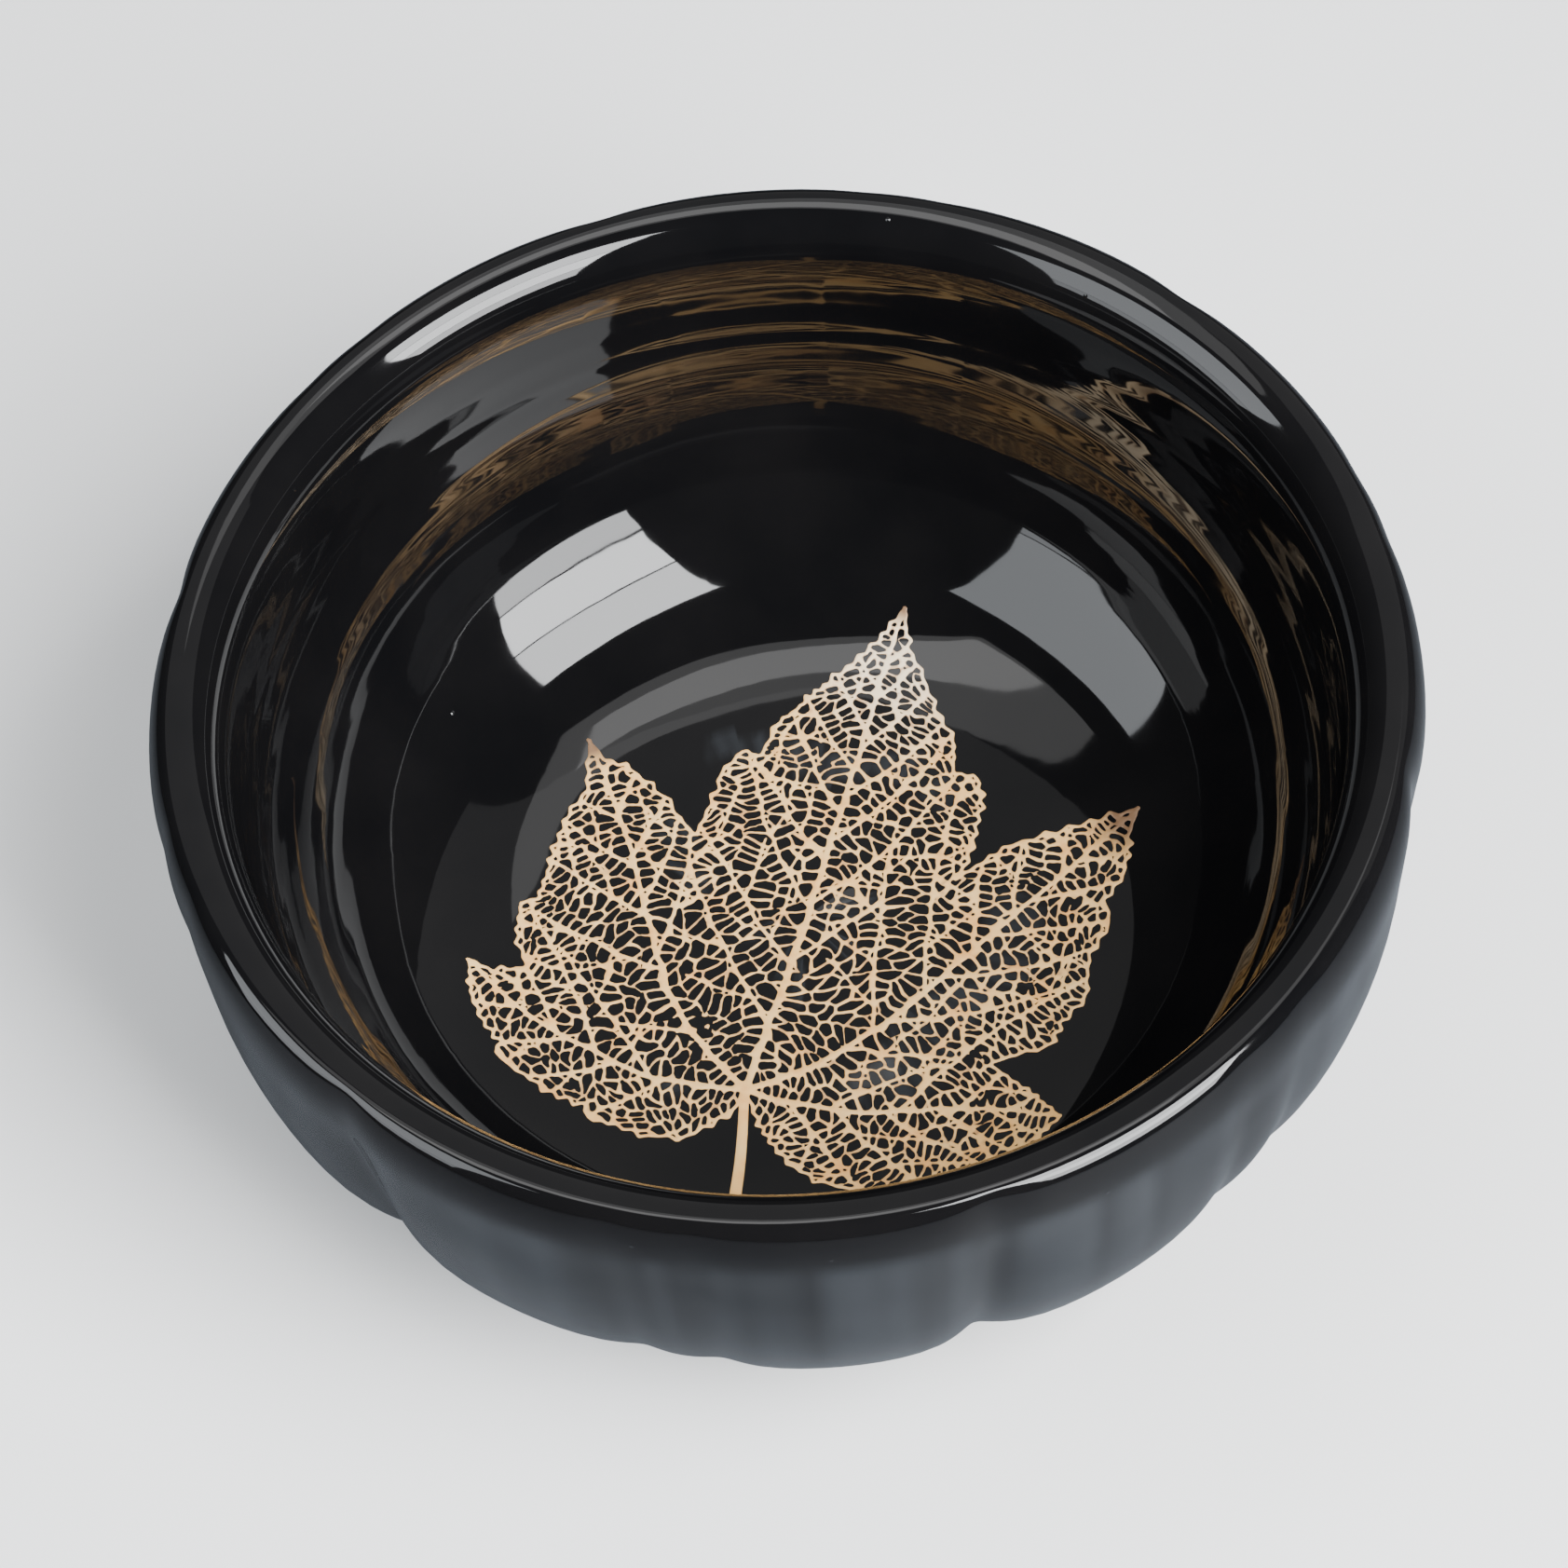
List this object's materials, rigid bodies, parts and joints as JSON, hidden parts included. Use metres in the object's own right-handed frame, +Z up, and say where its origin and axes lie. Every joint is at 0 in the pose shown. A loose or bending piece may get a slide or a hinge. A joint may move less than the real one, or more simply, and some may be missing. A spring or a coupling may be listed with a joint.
{
  "type": "lobed ceramic bowl",
  "caption": "Round lobed serving bowl with a rolled rim, a bare foot ring, a black gloss glaze and a gold leaf print on its floor.",
  "frame": {"origin": "centre of the foot ring's resting face", "axes": "+Z up along the bowl's axis; -Y towards the leaf's stalk, the side the bowl is looked at from"},
  "size_m": [0.1312, 0.1312, 0.058],
  "materials": {
    "fired_clay": "bare dark stoneware, matt and faintly gritty",
    "black_glaze": "mirror-gloss black glass glaze",
    "gold_print": "satin pale gold lustre print"
  },
  "bodies": {
    "root": {"clay_body": "fired_clay", "glaze_coat": "black_glaze", "underside_glaze": "black_glaze", "leaf_decal": "gold_print"}
  },
  "joints": []
}
